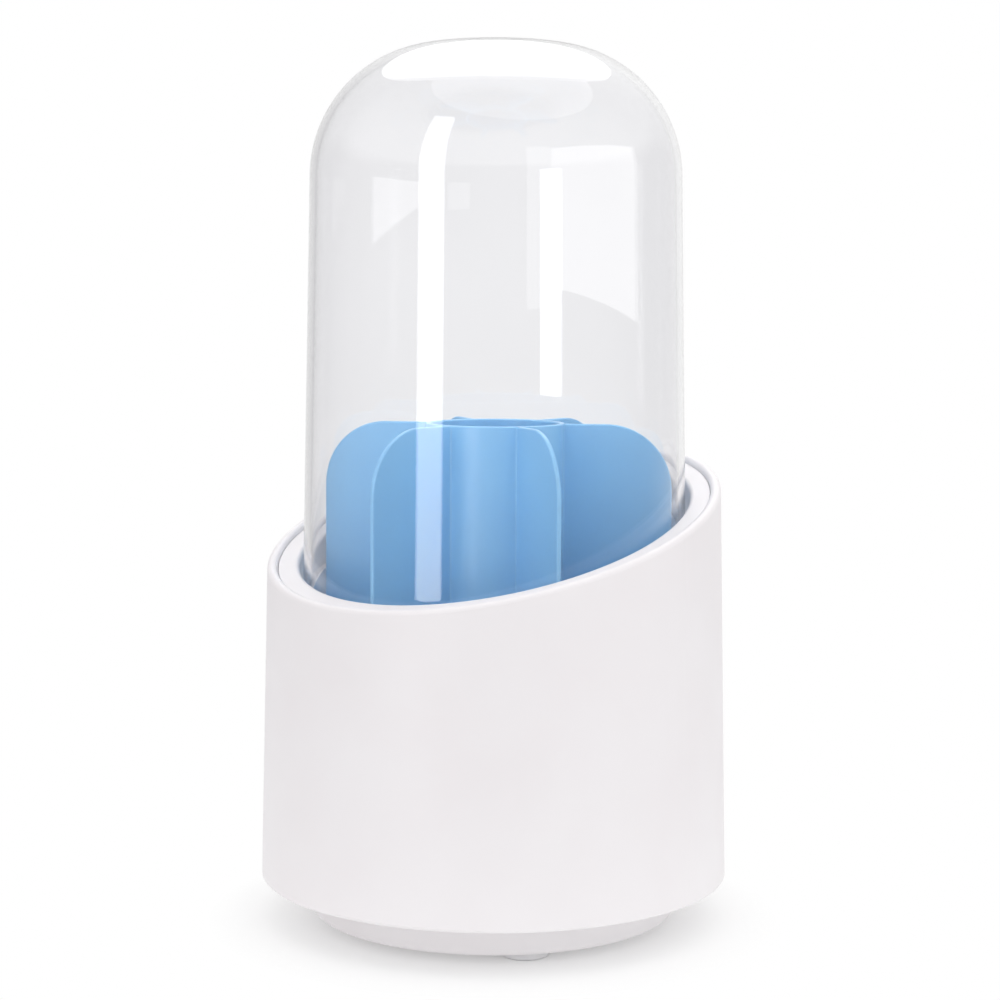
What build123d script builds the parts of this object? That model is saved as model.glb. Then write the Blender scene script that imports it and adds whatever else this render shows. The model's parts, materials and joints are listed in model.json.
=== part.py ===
from build123d import *
import os
from math import atan2, cos, degrees, hypot, pi, radians, remainder, sin, sqrt, tan

# Rotating brush organizer with a clear dome, in millimetres and degrees.
# The origin lies on the table, under the middle of the foot pads. +Z is up, and the slanted rim
# rises toward +Y.

# Foot pads
foot_count = 4
foot_first_angle = -41
foot_radius = 6.0
foot_proud = 2.1
foot_pocket_depth = 0.8
foot_pocket_clearance = 0.1
foot_edge_round = 0.8
foot_edge_margin = 1.0

# Turntable base
base_radius = 47.0
base_height = 8.5
base_wall = 2.0
base_floor = 2.2
base_bottom_round = 1.5
base_top_round = 0.6
base_rib_count = 6
base_rib_thickness = 1.6

# Ball bearing between the base and the cup
ball_count = 12
ball_radius = 2.5
ball_clearance = 0.3
race_radius = 30.0
race_gap = 2.6
track_width = 9.0
track_height = 2.0
cage_thickness = 1.4
cage_width = 7.5
cage_pocket_clearance = 0.25

# Pivot: the base's post in the bottom plate's collar, held by a washer and a screw
post_radius = 6.5
pivot_clearance = 0.08
pivot_play = 0.3
collar_wall = 3.6
collar_height = 2.0
washer_overlap = 3.0
washer_thickness = 1.2
washer_hole_clearance = 0.2
pivot_screw_radius = 1.75
pivot_screw_length = 12.0
pivot_head_radius = 4.0
pivot_head_height = 2.4
pivot_head_room = 1.3

# Plate screws, driven up through the bottom plate into the liner's bosses
plate_screw_count = 4
plate_screw_first_angle = 45
plate_screw_radius = 1.5
plate_head_radius = 3.0
plate_head_height = 1.6
plate_head_room = 0.4
plate_head_margin = 2.0
plate_hole_clearance = 0.2
boss_wall = 2.5

# What all screws share
screw_fit = 0.05
screw_tip_room = 1.0
head_round_share = 0.35
cross_width_share = 0.22
cross_length_share = 1.1
cross_depth_share = 0.5

# Bottom plate
plate_thickness = 2.2
plate_clearance = 0.15
plate_step = 1.0

# Outer shell
cup_gap = 0.9
shell_radius = 60.0
shell_height = 91.9
shell_draft = 1.28
shell_wall = 2.6
shell_bottom_round = 0.8
rim_slant = 16.5
lip_thickness = 2.7
lip_outer_round_share = 0.48
lip_inner_round_share = 0.44
flange_ledge = 3.0

# Liner, whose flange is the ring round the dome
ring_recess = 1.45
ring_width = 5.25
ring_hole_round = 1.0
flange_thickness = 2.0
flange_clearance = 0.15
sleeve_clearance = 0.3
liner_wall = 1.8
liner_floor = 2.0
liner_floor_round = 3.0
seat_depth = 8.0
seat_width = 2.85
seat_thickness = 2.0

# Dome cover
dome_gap = 1.15
dome_wall = 1.8
dome_draft = 1.14
dome_height = 122.05
dome_shoulder_radius = 33.4
dome_crown_radius = 177.0
dome_foot_round = 0.4

# Divider insert
blade_count = 6
blade_first_angle = 27
blade_thickness = 1.2
blade_corner_share = 0.6
blade_edge_round = 0.4
blade_root_round = 0.5
divider_clearance = 1.9
divider_height = 103.0
hub_radius = 17.8
hub_wall = 1.4

# One overrun serves all cuts
overrun = 1.0

# Heights of the base and the bearing
base_bottom = foot_proud
base_floor_top = base_bottom + base_floor
base_top = base_bottom + base_height
lower_track_top = base_floor_top + track_height
upper_track_face = lower_track_top + race_gap
ball_height = (lower_track_top + upper_track_face) / 2

# Heights of the cup, from its lower edge upward
cup_bottom = base_top + cup_gap
plate_bottom = cup_bottom + plate_head_height + plate_head_room
plate_top = plate_bottom + plate_thickness
collar_top = plate_top + collar_height
post_top = collar_top + pivot_play
washer_top = post_top + washer_thickness
liner_floor_bottom = washer_top + pivot_head_height + pivot_head_room
liner_floor_top = liner_floor_bottom + liner_floor
divider_top = liner_floor_top + divider_height

# Heights on the axis of the planes that follow the slant
slant = radians(rim_slant)
lip_height = cup_bottom + shell_height
ring_height = lip_height - ring_recess
flange_bottom = ring_height - flange_thickness
ledge_bottom = flange_bottom - flange_ledge
seat_height = ring_height - seat_depth
seat_bottom = seat_height - seat_thickness
dome_top = ring_height + dome_height
rim_high = lip_height + shell_radius * tan(slant) + overrun

# Radii
shell_taper = tan(radians(shell_draft))
rim_radius = shell_radius - shell_height * shell_taper
lip_outer_round = lip_thickness * lip_outer_round_share
lip_inner_round = lip_thickness * lip_inner_round_share
hole_radius = rim_radius - lip_thickness - ring_width
sleeve_radius = hole_radius + liner_wall
bore_radius = hole_radius - seat_width
dome_radius = hole_radius - dome_gap
blade_tip_radius = bore_radius - divider_clearance
blade_corner_radius = (blade_tip_radius - hub_radius) * blade_corner_share
foot_circle_radius = base_radius - base_bottom_round - foot_edge_margin - foot_radius
screw_circle_radius = race_radius + track_width / 2 + plate_head_margin + plate_head_radius
collar_bore = post_radius + pivot_clearance
pilot_radius = plate_screw_radius + screw_fit
plate_screw_length = plate_thickness + liner_floor_bottom - plate_top - screw_tip_room

STAND = (Align.CENTER, Align.CENTER, Align.MIN)


def disc(radius, low, high):
    """An upright round solid on the axis, between two heights."""
    return Pos(0, 0, low) * Cylinder(radius, high - low, align=STAND)


def slant_plane(axis_height):
    """The plane parallel to the rim that crosses the axis at this height."""
    return Plane((0, 0, axis_height), x_dir=(1, 0, 0), z_dir=(0, -sin(slant), cos(slant)))


def below(solid, axis_height):
    """What lies under the slanted plane at this height."""
    return split(solid, slant_plane(axis_height), keep=Keep.BOTTOM)


def above(solid, axis_height):
    """What lies over the slanted plane at this height."""
    return split(solid, slant_plane(axis_height), keep=Keep.TOP)


def face_on(solid, axis_height):
    """The face of a solid that lies in the slanted plane at this height."""
    plane = slant_plane(axis_height)
    return min(solid.faces().filter_by(plane),
               key=lambda face: abs(plane.to_local_coords(face.center()).Z))


def shell_cone(inset, low, high):
    """A solid that follows the shell's taper, inset from its outer face, between two heights."""
    low_radius = shell_radius - (low - cup_bottom) * shell_taper - inset
    high_radius = shell_radius - (high - cup_bottom) * shell_taper - inset
    return Pos(0, 0, low) * Cone(low_radius, high_radius, high - low, align=STAND)


def around(count, first_angle, radius):
    """Places evenly spaced on a circle about the axis."""
    return [Rot(0, 0, first_angle + i * 360 / count) * Pos(radius, 0, 0) for i in range(count)]


def foot_pad(place):
    """A soft round pad, set into a pocket of the base."""
    pad = disc(foot_radius, 0, foot_proud + foot_pocket_depth)
    pad = fillet(pad.edges().sort_by(Axis.Z)[:1], foot_edge_round)
    return place * pad


def turntable_base():
    """A shallow dish with the pivot post, the lower ball track and stiffening ribs."""
    dish = disc(base_radius, base_bottom, base_top)
    dish = fillet(dish.edges().sort_by(Axis.Z)[:1], base_bottom_round)
    dish -= disc(base_radius - base_wall, base_floor_top, base_top + overrun)
    dish = fillet(dish.faces().sort_by(Axis.Z)[-1].outer_wire().edges(), base_top_round)
    dish += disc(post_radius, base_bottom, post_top)
    track = disc(race_radius + track_width / 2, base_bottom, lower_track_top)
    track -= disc(race_radius - track_width / 2, base_floor_top, lower_track_top + overrun)
    dish += track
    rib_length = base_radius - base_wall / 2
    rib = Box(rib_length, base_rib_thickness, lower_track_top - base_bottom,
              align=(Align.MIN, Align.CENTER, Align.MIN))
    for i in range(base_rib_count):
        dish += Rot(0, 0, i * 360 / base_rib_count) * Pos(0, 0, base_bottom) * rib
    dish -= Pos(0, 0, ball_height) * Torus(race_radius, ball_radius + ball_clearance)
    pilot_depth = pivot_screw_length - washer_thickness + screw_tip_room
    dish -= disc(pivot_screw_radius + screw_fit, post_top - pilot_depth, post_top + overrun)
    pocket = disc(foot_radius + foot_pocket_clearance, base_bottom - overrun,
                  base_bottom + foot_pocket_depth)
    for place in around(foot_count, foot_first_angle, foot_circle_radius):
        dish -= place * pocket
    return dish


def ball_cage():
    """A flat ring with a round pocket for each ball."""
    low = ball_height - cage_thickness / 2
    high = ball_height + cage_thickness / 2
    cage = disc(race_radius + cage_width / 2, low, high)
    cage -= disc(race_radius - cage_width / 2, low - overrun, high + overrun)
    pocket = disc(ball_radius + cage_pocket_clearance, low - overrun, high + overrun)
    for place in around(ball_count, 0, race_radius):
        cage -= place * pocket
    return cage


def bearing_ball(place):
    """One steel ball between the two tracks."""
    return place * Pos(0, 0, ball_height) * Sphere(ball_radius)


def pan_screw(head_radius, head_height, shank_radius, length):
    """A cross-head screw that points down, with the underside of its head at zero height."""
    head = disc(head_radius, 0, head_height)
    head = fillet(head.edges().sort_by(Axis.Z)[-1:], head_height * head_round_share)
    slot_length = head_radius * cross_length_share
    slot_width = head_radius * cross_width_share
    slot_depth = head_height * cross_depth_share
    slot = Pos(0, 0, head_height) * Box(slot_length, slot_width, 2 * slot_depth)
    head -= slot
    head -= Rot(0, 0, 90) * slot
    return head + disc(shank_radius, -length, 0)


def pivot_washer():
    """A flat washer on the post, wider than the collar's bore."""
    washer = disc(post_radius + washer_overlap, post_top, washer_top)
    hole = pivot_screw_radius + washer_hole_clearance
    return washer - disc(hole, post_top - overrun, washer_top + overrun)


def pivot_screw():
    """The screw that holds the washer on the post."""
    screw = pan_screw(pivot_head_radius, pivot_head_height, pivot_screw_radius, pivot_screw_length)
    return Pos(0, 0, washer_top) * screw


def plate_screw(place):
    """A screw that points up, with its head under the bottom plate."""
    screw = pan_screw(plate_head_radius, plate_head_height, plate_screw_radius, plate_screw_length)
    return place * Pos(0, 0, plate_bottom) * Rot(180, 0, 0) * screw


def bottom_plate():
    """The disc that closes the shell, with the upper ball track and the pivot collar."""
    rim = shell_radius - (plate_top - cup_bottom) * shell_taper - shell_wall + plate_step
    plate = disc(rim - plate_clearance, plate_bottom, plate_top)
    track = disc(race_radius + track_width / 2, upper_track_face, plate_top)
    track -= disc(race_radius - track_width / 2, upper_track_face - overrun, plate_bottom)
    plate += track
    plate += disc(collar_bore + collar_wall, plate_bottom, collar_top)
    plate -= disc(collar_bore, plate_bottom - overrun, collar_top + overrun)
    plate -= Pos(0, 0, ball_height) * Torus(race_radius, ball_radius + ball_clearance)
    hole = disc(plate_screw_radius + plate_hole_clearance, plate_bottom - overrun, plate_top + overrun)
    for place in around(plate_screw_count, plate_screw_first_angle, screw_circle_radius):
        plate -= place * hole
    return plate


def outer_shell():
    """The tapered sleeve, cut at a slant, with a ledge under its lip for the liner's flange."""
    shell = shell_cone(0, cup_bottom, rim_high)
    shell = fillet(shell.edges().sort_by(Axis.Z)[:1], shell_bottom_round)
    shell = below(shell, lip_height)
    shell = fillet(shell.faces().sort_by(Axis.Z)[-1].edges(), lip_outer_round)
    shell -= above(shell_cone(lip_thickness, cup_bottom, rim_high), flange_bottom)
    lip_edges = face_on(shell, lip_height).inner_wires()[0].edges()
    shell = fillet(lip_edges, lip_inner_round)
    shell -= disc(sleeve_radius + sleeve_clearance, cup_bottom - overrun, rim_high)
    shell -= below(shell_cone(shell_wall, plate_top, rim_high), ledge_bottom)
    shell -= shell_cone(shell_wall - plate_step, cup_bottom - overrun, plate_top)
    return shell


def liner():
    """The inner cup: slanted flange, sleeve round the dome's foot, seat, straight bore and floor."""
    flange = shell_cone(lip_thickness + flange_clearance, cup_bottom, rim_high)
    flange = above(below(flange, ring_height), flange_bottom)
    sleeve = above(below(disc(sleeve_radius, cup_bottom, rim_high), ring_height), seat_bottom)
    cup = below(disc(bore_radius + liner_wall, liner_floor_bottom, rim_high), seat_height)
    body = cup + sleeve + flange
    body -= above(disc(hole_radius, cup_bottom, rim_high), seat_height)
    well = disc(bore_radius, liner_floor_top, rim_high)
    body -= fillet(well.edges().sort_by(Axis.Z)[:1], liner_floor_round)
    hole_edges = face_on(body, ring_height).inner_wires()[0].edges()
    body = fillet(hole_edges, ring_hole_round)
    boss = disc(plate_screw_radius + boss_wall, plate_top, liner_floor_bottom + liner_floor / 2)
    pilot = disc(pilot_radius, plate_top - overrun, liner_floor_bottom)
    for place in around(plate_screw_count, plate_screw_first_angle, screw_circle_radius):
        body += place * boss
        body -= place * pilot
    return body


def dome_outline(inset):
    """Half of the capsule's section, from the axis out: crown arc, shoulder arc, tapered wall."""
    draft = radians(dome_draft)
    crown_middle = dome_top - dome_crown_radius
    # The shoulder's centre lies one shoulder radius inside the tapered wall, and the two arcs touch
    wall_line = dome_radius - dome_shoulder_radius / cos(draft) + ring_height * tan(draft)
    half_b = -wall_line * tan(draft) - crown_middle
    rest = wall_line**2 + crown_middle**2 - (dome_crown_radius - dome_shoulder_radius)**2
    square = 1 + tan(draft)**2
    shoulder_height = (-half_b + sqrt(half_b**2 - square * rest)) / square
    shoulder_centre = wall_line - shoulder_height * tan(draft)
    meeting = atan2(shoulder_height - crown_middle, shoulder_centre)

    def on_shoulder(angle):
        reach = dome_shoulder_radius - inset
        return (shoulder_centre + reach * cos(angle), shoulder_height + reach * sin(angle))

    def on_crown(angle):
        reach = dome_crown_radius - inset
        return (reach * cos(angle), crown_middle + reach * sin(angle))

    foot_low = seat_height - hole_radius * tan(slant) - overrun
    foot_radius_low = dome_radius - inset / cos(draft) + (ring_height - foot_low) * tan(draft)
    crown = ThreePointArc((0, dome_top - inset), on_crown((pi / 2 + meeting) / 2), on_crown(meeting))
    shoulder = ThreePointArc(on_shoulder(meeting), on_shoulder((meeting + draft) / 2), on_shoulder(draft))
    wall = Line(on_shoulder(draft), (foot_radius_low, foot_low))
    foot = Line((foot_radius_low, foot_low), (0, foot_low))
    axis = Line((0, foot_low), (0, dome_top - inset))
    return make_face([crown, shoulder, wall, foot, axis])


def dome_cover():
    """The clear capsule, cut at its foot to stand on the liner's slanted seat."""
    section = Plane.XZ * (dome_outline(0) - dome_outline(dome_wall))
    dome = above(revolve(section, Axis.Z), seat_height)
    return fillet(face_on(dome, seat_height).edges(), dome_foot_round)


def divider_plan():
    """The divider seen from above: the hub's disc and its blades, with rounded roots."""
    plan = Circle(hub_radius)
    wall = Rectangle(blade_tip_radius + overrun, blade_thickness, align=(Align.MIN, Align.CENTER))
    for place in around(blade_count, blade_first_angle, 0):
        plan += place * wall
    roots = plan.vertices().filter_by(lambda corner: hypot(corner.X, corner.Y) < blade_tip_radius)
    return fillet(roots, blade_root_round)


def divider_envelope():
    """The round body that gives each blade its tip, its large top corner and its foot corner."""
    section = Plane.XZ * Pos(0, liner_floor_top) * Rectangle(
        blade_tip_radius, divider_height, align=(Align.MIN, Align.MIN))
    top_corner = section.vertices().group_by(Axis.Z)[-1].sort_by(Axis.X)[-1]
    section = fillet(top_corner, blade_corner_radius)
    foot_corner = section.vertices().group_by(Axis.Z)[0].sort_by(Axis.X)[-1]
    section = fillet(foot_corner, liner_floor_round)
    return revolve(section, Axis.Z)


def divider_insert():
    """The hub tube with its blades, one moulding that stands on the liner's floor."""
    insert = Pos(0, 0, liner_floor_top) * extrude(divider_plan(), divider_height)
    insert &= divider_envelope()

    def is_outline(edge):
        """Whether an edge runs along the top of the moulding or along a blade's outer end."""
        middle = edge.center()
        reach = hypot(middle.X, middle.Y)
        turn = remainder(degrees(atan2(middle.Y, middle.X)) - blade_first_angle, 360 / blade_count)
        crosses_blade = abs(reach * sin(radians(turn))) < blade_thickness / 4
        on_top = middle.Z > divider_top - blade_corner_radius
        on_end = reach > hub_radius + blade_root_round and middle.Z > liner_floor_top + liner_floor_round
        return (on_top or on_end) and not crosses_blade

    insert = fillet(insert.edges().filter_by(is_outline), blade_edge_round)
    insert -= disc(hub_radius - hub_wall, liner_floor_top - overrun, divider_top + overrun)
    hub_edge = insert.faces().sort_by(Axis.Z)[-1].inner_wires()[0].edges()
    return fillet(hub_edge, blade_edge_round)


def all_nodes():
    """Every piece by its name."""
    nodes = {
        "turntable_base": turntable_base(),
        "ball_cage": ball_cage(),
        "pivot_washer": pivot_washer(),
        "pivot_screw": pivot_screw(),
        "bottom_plate": bottom_plate(),
        "outer_shell": outer_shell(),
        "liner": liner(),
        "divider_insert": divider_insert(),
        "dome_cover": dome_cover(),
    }
    for i, place in enumerate(around(foot_count, foot_first_angle, foot_circle_radius), 1):
        nodes[f"foot_pad_{i}"] = foot_pad(place)
    for i, place in enumerate(around(ball_count, 0, race_radius), 1):
        nodes[f"bearing_ball_{i:02d}"] = bearing_ball(place)
    for i, place in enumerate(
            around(plate_screw_count, plate_screw_first_angle, screw_circle_radius), 1):
        nodes[f"plate_screw_{i}"] = plate_screw(place)
    return nodes


os.makedirs("parts", exist_ok=True)
for name, shape in all_nodes().items():
    export_step(shape, f"parts/{name}.step")
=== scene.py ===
"""The looks of the rotating brush organizer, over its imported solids. Lengths are in metres."""
import json
import math

import bpy
from mathutils import Matrix, Quaternion, Vector

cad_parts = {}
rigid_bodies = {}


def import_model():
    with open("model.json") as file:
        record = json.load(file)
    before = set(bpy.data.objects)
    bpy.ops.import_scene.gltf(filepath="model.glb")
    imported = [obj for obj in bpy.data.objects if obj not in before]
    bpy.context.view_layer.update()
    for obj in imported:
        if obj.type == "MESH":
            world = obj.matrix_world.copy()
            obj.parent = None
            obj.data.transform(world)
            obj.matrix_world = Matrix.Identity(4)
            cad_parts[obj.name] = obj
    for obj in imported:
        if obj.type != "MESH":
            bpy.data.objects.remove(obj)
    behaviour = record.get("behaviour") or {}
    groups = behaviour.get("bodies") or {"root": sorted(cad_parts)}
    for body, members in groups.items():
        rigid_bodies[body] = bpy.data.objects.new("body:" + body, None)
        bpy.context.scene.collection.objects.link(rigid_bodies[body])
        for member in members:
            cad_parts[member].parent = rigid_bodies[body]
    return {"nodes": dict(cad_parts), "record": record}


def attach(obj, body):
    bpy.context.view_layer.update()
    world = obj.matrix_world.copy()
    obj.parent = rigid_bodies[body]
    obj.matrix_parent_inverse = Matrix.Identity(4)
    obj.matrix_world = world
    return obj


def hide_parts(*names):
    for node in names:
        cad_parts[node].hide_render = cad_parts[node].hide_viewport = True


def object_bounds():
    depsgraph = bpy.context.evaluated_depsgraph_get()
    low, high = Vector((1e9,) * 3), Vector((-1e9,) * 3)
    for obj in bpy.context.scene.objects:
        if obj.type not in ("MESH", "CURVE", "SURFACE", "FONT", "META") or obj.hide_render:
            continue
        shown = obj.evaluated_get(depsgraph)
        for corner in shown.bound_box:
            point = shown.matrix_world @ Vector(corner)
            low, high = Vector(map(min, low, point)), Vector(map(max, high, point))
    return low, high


for leftover in list(bpy.data.objects):
    bpy.data.objects.remove(leftover)
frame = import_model()
cad_low, cad_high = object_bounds()

# Camera, from the outlines in the photograph: angles in radians, the sensor in millimetres
camera_azimuth = math.radians(37.4)
camera_distance = 0.5729
camera_height = 0.16205
camera_tilt = 0.0941
camera_yaw = 0.0023
camera_roll = 0.0041
focal_share = 2.2413
sensor_width = 36.0

# Materials: the stretch of a noise that counts, and what plastic, acrylic and steel have of their own
noise_low_share = 0.3
noise_high_share = 0.7
noise_detail = 2.0
gloss_patch_share = 1 / 3
plastic_ior = 1.5
acrylic_ior = 1.49
acrylic_tint_patch = 0.05
acrylic_dull_patch = 0.02
acrylic_dull_roughness = 0.004
acrylic_wave = 0.035
acrylic_wave_detail = 0.0
acrylic_wave_depth = 0.000002
scratch_stretch_shares = (1, 0.12, 1)
scratch_detail = 4.0

# Dome cover: the solid's own sizes, for a mesh fine enough to refract and mirror cleanly
dome_radius = 0.048847
dome_radius_height = 0.10195
dome_top = 0.2240
dome_wall = 0.0018
dome_draft = math.radians(1.14)
dome_shoulder_radius = 0.0334
dome_crown_radius = 0.1770
dome_foot_round = 0.0004
seat_height = 0.09395
seat_slope = math.tan(math.radians(16.5))
dome_sides = 256
crown_rows = 40
shoulder_rows = 56
wall_rows = 24

# Room: even light, a white background and a dimmer mirror image, white at the backdrop and below
room_light = (0.88, 0.87, 0.88, 1)
room_reflected = (0.33, 0.32, 0.34, 1)
background_white = (1, 1, 1, 1)
backdrop_side = math.radians(172)
backdrop_full_angle = math.radians(14)
backdrop_edge_angle = math.radians(68)
white_dip = math.sin(math.radians(20))
dim_dip = math.sin(math.radians(8))
half_bounce = 0.5

# Floor: matte, with a small share of plain white under the object that is full where its shadow ends
floor_radius = 0.55
floor_sides = 96
floor_colour = (0.90, 0.90, 0.90, 1)
floor_white_share = 0.1
floor_lit_radius = 0.035
floor_white_radius = 0.074

# Lamps: a strip and a panel upright in front, two lights overhead and one on the floor under the object
softbox_distance = 0.80
strip_left = math.radians(-46)
strip_right = math.radians(-30.6)
strip_low = 0.01
strip_high = 0.95
strip_radiance = 4.0
panel_edge_left = math.radians(18)
panel_left = math.radians(33)
panel_right = math.radians(93)
panel_low = 0.18
panel_high = 0.48
panel_lean = math.radians(-2)
panel_edge_radiance = 0.7
panel_radiance = 1.4
overhead_height = 0.95
overhead_width = 1.12
window_near = -0.08
window_far = 1.26
window_radiance = 1.7
top_fill_aside = 0.15
top_fill_near = -0.76
top_fill_far = 0.36
top_fill_radiance = 1.15
table_fill_width = 0.18
table_fill_lift = 0.0003
table_fill_radiance = 0.23


def srgb(red, green, blue):
    """A colour as seen on screen, from 0 to 255 a channel, as linear light by the sRGB formula."""
    def linear(value):
        share = value / 255
        return share / 12.92 if share <= 0.04045 else ((share + 0.055) / 1.055) ** 2.4
    return (linear(red), linear(green), linear(blue), 1)


def toward(side, distance, height):
    """A place round the object, by its angle to the right of the camera, its distance and its height."""
    bearing = camera_azimuth + side
    return Vector((distance * math.sin(bearing), -distance * math.cos(bearing), height))


def add_mesh(name, vertices, faces, material):
    """A new mesh object of one material."""
    mesh = bpy.data.meshes.new(name)
    mesh.from_pydata(vertices, [], faces)
    mesh.materials.append(material)
    added = bpy.data.objects.new(name, mesh)
    bpy.context.scene.collection.objects.link(added)
    return added


# Node helpers

def new_material(name):
    """A node material, its tree, its shader and the place coordinates that its textures use."""
    material = bpy.data.materials.new(name)
    material.use_nodes = True
    tree = material.node_tree
    place = tree.nodes.new("ShaderNodeTexCoord").outputs["Object"]
    return material, tree, tree.nodes["Principled BSDF"], place


def calculated(tree, operation, first, second=None):
    """The result of one sum on a value, or on two."""
    node = tree.nodes.new("ShaderNodeMath")
    node.operation = operation
    for socket, value in zip(node.inputs, (first, second)):
        if isinstance(value, bpy.types.NodeSocket):
            tree.links.new(value, socket)
        elif value is not None:
            socket.default_value = value
    return node.outputs["Value"]


def vector_math(tree, operation, vector, other=None):
    """The outputs of one sum on a vector, or on a vector and a fixed one."""
    node = tree.nodes.new("ShaderNodeVectorMath")
    node.operation = operation
    tree.links.new(vector, node.inputs[0])
    if other is not None:
        node.inputs[1].default_value = other
    return node.outputs


def ranged(tree, value, low, high, first, second):
    """A value that runs from first to second while another runs from low to high."""
    span = tree.nodes.new("ShaderNodeMapRange")
    span.inputs["From Min"].default_value = low
    span.inputs["From Max"].default_value = high
    span.inputs["To Min"].default_value = first
    span.inputs["To Max"].default_value = second
    tree.links.new(value, span.inputs["Value"])
    return span.outputs["Result"]


def coloured(tree, value, low, high, first, second):
    """A colour that runs from first to second while a value runs from low to high."""
    ramp = tree.nodes.new("ShaderNodeValToRGB")
    for element, position, colour in zip(ramp.color_ramp.elements, (low, high), (first, second)):
        element.position = position
        element.color = colour
    tree.links.new(value, ramp.inputs["Fac"])
    return ramp.outputs["Color"]


def mixed(tree, factor, first, second):
    """A shader that goes from first to second by a factor."""
    mix = tree.nodes.new("ShaderNodeMixShader")
    tree.links.new(factor, mix.inputs["Fac"])
    tree.links.new(first.outputs[0], mix.inputs[1])
    tree.links.new(second.outputs[0], mix.inputs[2])
    return mix


def stretched(tree, place, scale):
    """The place coordinates, scaled along each axis."""
    mapping = tree.nodes.new("ShaderNodeMapping")
    mapping.inputs["Scale"].default_value = scale
    tree.links.new(place, mapping.inputs["Vector"])
    return mapping.outputs["Vector"]


def noise(tree, place, size, detail=noise_detail):
    """A noise with patches of about this size."""
    texture = tree.nodes.new("ShaderNodeTexNoise")
    texture.inputs["Scale"].default_value = 1 / size
    texture.inputs["Detail"].default_value = detail
    tree.links.new(place, texture.inputs["Vector"])
    return texture.outputs[0]


def between(tree, factor, low, high):
    """A value from low to high that follows a noise."""
    return ranged(tree, factor, noise_low_share, noise_high_share, low, high)


def shades(tree, factor, first, second):
    """A colour from first to second that follows a noise."""
    return coloured(tree, factor, noise_low_share, noise_high_share, first, second)


def bump(tree, height, depth):
    """A normal that raises a noise by this depth."""
    raised = tree.nodes.new("ShaderNodeBump")
    raised.inputs["Strength"].default_value = 1.0
    raised.inputs["Distance"].default_value = depth
    tree.links.new(height, raised.inputs["Height"])
    return raised.outputs["Normal"]


# Materials

def satin_plastic(name, light, dark, patch, gloss, grain, grain_depth):
    """Moulded plastic: slightly uneven colour, satin gloss that varies, and a fine eroded grain."""
    material, tree, shader, place = new_material(name)
    colour = shades(tree, noise(tree, place, patch), dark, light)
    roughness = between(tree, noise(tree, place, patch * gloss_patch_share), *gloss)
    normal = bump(tree, noise(tree, place, grain), grain_depth)
    tree.links.new(colour, shader.inputs["Base Color"])
    tree.links.new(roughness, shader.inputs["Roughness"])
    tree.links.new(normal, shader.inputs["Normal"])
    shader.inputs["IOR"].default_value = plastic_ior
    return material


def white_plastic():
    """The shell, the liner, the bottom plate and the turntable base."""
    return satin_plastic("white_plastic", light=srgb(239, 237, 238), dark=srgb(237, 234, 235),
                         patch=0.03, gloss=(0.42, 0.50), grain=0.0004, grain_depth=0.000004)


def blue_plastic():
    """The divider insert."""
    return satin_plastic("blue_plastic", light=srgb(143, 201, 242), dark=srgb(138, 195, 238),
                         patch=0.02, gloss=(0.30, 0.38), grain=0.0005, grain_depth=0.000004)


def cage_plastic():
    """The ball cage, in its natural colour."""
    return satin_plastic("cage_plastic", light=srgb(232, 229, 215), dark=srgb(224, 220, 204),
                         patch=0.008, gloss=(0.40, 0.52), grain=0.0004, grain_depth=0.000006)


def foot_rubber():
    """The foot pads: pale, dull and coarser than the plastics."""
    return satin_plastic("foot_rubber", light=srgb(230, 230, 231), dark=srgb(222, 222, 224),
                         patch=0.004, gloss=(0.62, 0.75), grain=0.0003, grain_depth=0.00001)


def clear_dome():
    """Polished acrylic: barely tinted, with a faint waviness and a few duller patches."""
    material, tree, shader, place = new_material("clear_dome")
    tint = shades(tree, noise(tree, place, acrylic_tint_patch), srgb(250, 250, 251), srgb(252, 252, 253))
    roughness = between(tree, noise(tree, place, acrylic_dull_patch), 0, acrylic_dull_roughness)
    normal = bump(tree, noise(tree, place, acrylic_wave, acrylic_wave_detail), acrylic_wave_depth)
    tree.links.new(tint, shader.inputs["Base Color"])
    tree.links.new(roughness, shader.inputs["Roughness"])
    tree.links.new(normal, shader.inputs["Normal"])
    shader.inputs["Transmission Weight"].default_value = 1.0
    shader.inputs["IOR"].default_value = acrylic_ior
    return material


def steel(name, light, dark, gloss, scratch, scratch_depth):
    """Bare or plated steel with fine scratches along one direction."""
    material, tree, shader, place = new_material(name)
    lines = noise(tree, stretched(tree, place, scratch_stretch_shares), scratch, scratch_detail)
    tree.links.new(shades(tree, lines, dark, light), shader.inputs["Base Color"])
    tree.links.new(between(tree, lines, *gloss), shader.inputs["Roughness"])
    tree.links.new(bump(tree, lines, scratch_depth), shader.inputs["Normal"])
    shader.inputs["Metallic"].default_value = 1.0
    return material


def bearing_steel():
    """The bearing balls: bare and polished."""
    return steel("bearing_steel", light=srgb(228, 228, 231), dark=srgb(216, 216, 220),
                 gloss=(0.06, 0.12), scratch=0.0004, scratch_depth=0.000001)


def zinc_steel():
    """The screws and the washer: zinc plated."""
    return steel("zinc_steel", light=srgb(206, 209, 214), dark=srgb(184, 188, 196),
                 gloss=(0.25, 0.40), scratch=0.0005, scratch_depth=0.000004)


def dress_nodes():
    """Gives every solid the material of its slot."""
    made = {"white_plastic": white_plastic(), "blue_plastic": blue_plastic(), "clear_dome": clear_dome(),
            "foot_rubber": foot_rubber(), "cage_plastic": cage_plastic(),
            "bearing_steel": bearing_steel(), "zinc_steel": zinc_steel()}
    for row in frame["record"]["subparts"]:
        mesh = frame["nodes"][row["node"]].data
        mesh.materials.clear()
        mesh.materials.append(made[row["material_slot"]])


# Dome cover

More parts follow.
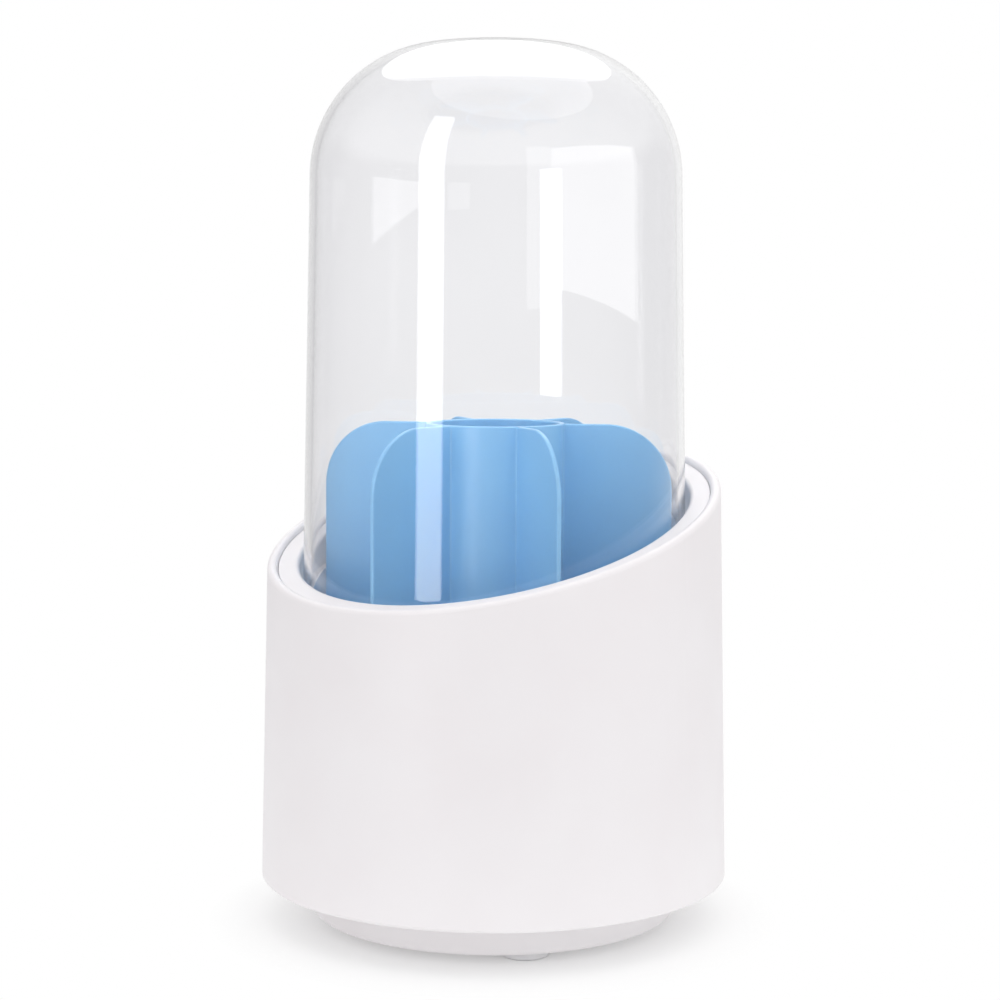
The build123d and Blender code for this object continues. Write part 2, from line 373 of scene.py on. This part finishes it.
def dome_profile(inset):
    """Radius and height down the capsule's section, from the axis to the foot of the shoulder arc."""
    crown_middle = dome_top - dome_crown_radius
    crown_reach = dome_crown_radius - inset
    shoulder_reach = dome_shoulder_radius - inset
    slope = math.tan(dome_draft)
    # The shoulder arc touches the crown arc and the wall, so its centre's height solves a quadratic
    wall_line = dome_radius - dome_shoulder_radius / math.cos(dome_draft) + dome_radius_height * slope
    half = -wall_line * slope - crown_middle
    rest = wall_line**2 + crown_middle**2 - (dome_crown_radius - dome_shoulder_radius)**2
    square = 1 + slope**2
    shoulder_height = (-half + math.sqrt(half**2 - square * rest)) / square
    shoulder_centre = wall_line - shoulder_height * slope
    meeting = math.atan2(shoulder_height - crown_middle, shoulder_centre)
    points = []
    for row in range(crown_rows):
        angle = math.pi / 2 + (meeting - math.pi / 2) * row / crown_rows
        points.append((crown_reach * math.cos(angle), crown_middle + crown_reach * math.sin(angle)))
    for row in range(shoulder_rows + 1):
        angle = meeting + (dome_draft - meeting) * row / shoulder_rows
        points.append((shoulder_centre + shoulder_reach * math.cos(angle),
                       shoulder_height + shoulder_reach * math.sin(angle)))
    return points


def dome_column(side, inset):
    """One side's points from the axis down to the slanted seat, and the height of the seat there."""
    points = dome_profile(inset)
    slope = math.tan(dome_draft)
    axis_reach = dome_radius - inset / math.cos(dome_draft) + dome_radius_height * slope
    rise = math.sin(side) * seat_slope
    seat = (seat_height + axis_reach * rise) / (1 + slope * rise)
    top = points[-1][1]
    low = seat + dome_foot_round
    for row in range(1, wall_rows + 1):
        height = top + (low - top) * row / wall_rows
        points.append((axis_reach - height * slope, height))
    return points, seat


def dome_section(side):
    """One side's section through the wall: down the outside, round the foot and up the inside."""
    outside, seat = dome_column(side, 0)
    inside, inner_seat = dome_column(side, dome_wall)
    foot = [(outside[-1][0] - dome_foot_round, seat), (inside[-1][0] + dome_foot_round, inner_seat)]
    return outside[1:] + foot + inside[:0:-1]


def add_dome():
    """The clear dome as one smooth closed mesh, in the place of its solid."""
    vertices = []
    for i in range(dome_sides):
        side = 2 * math.pi * i / dome_sides
        for radius, height in dome_section(side):
            vertices.append((radius * math.cos(side), radius * math.sin(side), height))
    rows = len(vertices) // dome_sides
    outer_pole, inner_pole = len(vertices), len(vertices) + 1
    vertices += [(0, 0, dome_top), (0, 0, dome_top - dome_wall)]
    faces = []
    for i in range(dome_sides):
        here, there = i * rows, (i + 1) % dome_sides * rows
        faces += [(here + j, here + j + 1, there + j + 1, there + j) for j in range(rows - 1)]
        faces.append((outer_pole, here, there))
        faces.append((inner_pole, there + rows - 1, here + rows - 1))
    dome = add_mesh("clear_cover", vertices, faces, frame["nodes"]["dome_cover"].data.materials[0])
    dome.data.shade_smooth()
    # A clear piece that casts a shadow keeps the lamps off what it covers, as an opaque one does
    dome.visible_shadow = False
    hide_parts("dome_cover")
    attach(dome, "dome")


# Room and floor

def seen_rays(tree):
    """Where the camera looks, straight or through glass, and where it sees a mirror image."""
    path = tree.nodes.new("ShaderNodeLightPath").outputs
    looking = calculated(tree, "MAXIMUM", path["Is Camera Ray"], path["Is Transmission Ray"])
    unscattered = calculated(tree, "LESS_THAN", path["Diffuse Depth"], half_bounce)
    seen = calculated(tree, "MULTIPLY", looking, unscattered)
    mirror_image = calculated(tree, "MULTIPLY", path["Glossy Depth"], unscattered)
    return seen, mirror_image


def reflected_room(tree):
    """What glossy surfaces mirror: a dim room that grows white toward the tall backdrop and the floor."""
    direction = tree.nodes.new("ShaderNodeTexCoord").outputs["Generated"]
    level = vector_math(tree, "MULTIPLY", direction, (1, 1, 0))["Vector"]
    heading = vector_math(tree, "NORMALIZE", level)["Vector"]
    facing = vector_math(tree, "DOT_PRODUCT", heading, toward(backdrop_side, 1, 0))["Value"]
    aside = calculated(tree, "DIVIDE", calculated(tree, "ARCCOSINE", facing), backdrop_edge_angle)
    parts = tree.nodes.new("ShaderNodeSeparateXYZ")
    tree.links.new(direction, parts.inputs["Vector"])
    above_floor = ranged(tree, parts.outputs["Z"], -white_dip, -dim_dip, 0, 1)
    dimness = calculated(tree, "MULTIPLY", aside, above_floor)
    full_share = backdrop_full_angle / backdrop_edge_angle
    return coloured(tree, dimness, full_share, 1, background_white, room_reflected)


def background(tree, colour):
    """A world shader of one colour."""
    shader = tree.nodes.new("ShaderNodeBackground")
    shader.inputs["Color"].default_value = colour
    return shader


def add_world():
    """Even room light, a dimmer room in reflections and a white background."""
    world = bpy.data.worlds.new("studio")
    bpy.context.scene.world = world
    world.use_nodes = True
    tree = world.node_tree
    tree.nodes.clear()
    seen, mirror_image = seen_rays(tree)
    room = mixed(tree, seen, background(tree, room_light), background(tree, background_white))
    mirrored = tree.nodes.new("ShaderNodeBackground")
    tree.links.new(reflected_room(tree), mirrored.inputs["Color"])
    whole = mixed(tree, mirror_image, room, mirrored)
    output = tree.nodes.new("ShaderNodeOutputWorld")
    tree.links.new(whole.outputs[0], output.inputs["Surface"])


def floor_material():
    """Matte white that keeps the object's shadow, and that is seen as plain white round it."""
    material, tree, shader, place = new_material("floor_white")
    shader.inputs["Base Color"].default_value = floor_colour
    shader.inputs["Roughness"].default_value = 1.0
    shader.inputs["Specular IOR Level"].default_value = 0.0
    plain = tree.nodes.new("ShaderNodeEmission")
    plain.inputs["Color"].default_value = background_white
    reach = vector_math(tree, "LENGTH", place)["Value"]
    whiteness = ranged(tree, reach, floor_lit_radius, floor_white_radius, floor_white_share, 1)
    seen, mirror_image = seen_rays(tree)
    shown = calculated(tree, "MAXIMUM", seen, mirror_image)
    whole = mixed(tree, calculated(tree, "MULTIPLY", whiteness, shown), shader, plain)
    tree.links.new(whole.outputs[0], tree.nodes["Material Output"].inputs["Surface"])
    return material


def add_floor():
    """The round white floor under the object."""
    sides = [2 * math.pi * i / floor_sides for i in range(floor_sides)]
    corners = [(floor_radius * math.cos(side), floor_radius * math.sin(side), cad_low.z) for side in sides]
    floor = add_mesh("floor", corners, [list(range(floor_sides))], floor_material())


# Lamps

def add_area_light(name, place, turn, shape, width, height, radiance):
    """A flat light of a given brightness, hidden from the camera."""
    filled_shares = {"RECTANGLE": 1, "ELLIPSE": math.pi / 4}
    lamp = bpy.data.lights.new(name, "AREA")
    lamp.shape = shape
    lamp.size = width
    lamp.size_y = height
    lamp.energy = radiance * math.pi * filled_shares[shape] * width * height
    light = bpy.data.objects.new(name, lamp)
    light.location = place
    light.rotation_mode = "QUATERNION"
    light.rotation_quaternion = turn
    light.visible_camera = False
    bpy.context.scene.collection.objects.link(light)
    return light


def add_softbox(name, left, right, low, high, radiance, lean=0):
    """An upright softbox that faces the axis, between two angles round the object and two heights."""
    side = (left + right) / 2
    width = 2 * softbox_distance * math.tan((right - left) / 2)
    inward = toward(side, -1, 0).to_track_quat("-Z", "Y") @ Quaternion((0, 0, 1), lean)
    place = toward(side, softbox_distance, (low + high) / 2)
    return add_area_light(name, place, inward, "RECTANGLE", width, high - low, radiance)


def add_overhead(name, aside, near, far, radiance):
    """A round softbox that faces down, right of the axis and between two distances behind it."""
    downward = Quaternion((0, 0, 1), camera_azimuth)
    place = toward(math.pi, (near + far) / 2, overhead_height) + toward(math.pi / 2, aside, 0)
    return add_area_light(name, place, downward, "ELLIPSE", overhead_width, far - near, radiance)


def add_table_fill():
    """A round light that lies on the floor under the object and faces up, as a light table does."""
    upward = Quaternion((1, 0, 0), math.pi)
    place = Vector((0, 0, cad_low.z + table_fill_lift))
    light = add_area_light("table_fill", place, upward, "ELLIPSE", table_fill_width, table_fill_width,
                           table_fill_radiance)
    light.visible_transmission = False
    return light


def add_lights():
    """Softboxes that show in reflections alone, and two fill lights that never do."""
    mirrored = [
        add_softbox("left_strip", strip_left, strip_right, strip_low, strip_high, strip_radiance),
        add_softbox("right_edge", panel_edge_left, panel_left, panel_low, panel_high, panel_edge_radiance),
        add_softbox("right_panel", panel_left, panel_right, panel_low, panel_high, panel_radiance,
                    lean=panel_lean),
        add_overhead("top_window", 0, window_near, window_far, window_radiance)]
    for light in mirrored:
        light.visible_diffuse = False
    fills = [add_overhead("top_fill", top_fill_aside, top_fill_near, top_fill_far, top_fill_radiance),
             add_table_fill()]
    for light in fills:
        light.visible_glossy = False


def add_camera():
    """The camera at the photograph's viewing angle."""
    data = bpy.data.cameras.new("camera")
    data.sensor_width = sensor_width
    data.lens = focal_share * sensor_width
    camera = bpy.data.objects.new("camera", data)
    turn = (Matrix.Rotation(camera_azimuth - camera_yaw, 4, "Z")
            @ Matrix.Rotation(math.pi / 2 - camera_tilt, 4, "X")
            @ Matrix.Rotation(camera_roll, 4, "Z"))
    camera.matrix_world = Matrix.Translation(toward(0, camera_distance, camera_height)) @ turn
    bpy.context.scene.collection.objects.link(camera)
    bpy.context.scene.camera = camera


dress_nodes()
add_dome()
add_world()
add_floor()
add_lights()
add_camera()
bpy.context.scene.view_settings.view_transform = "Standard"
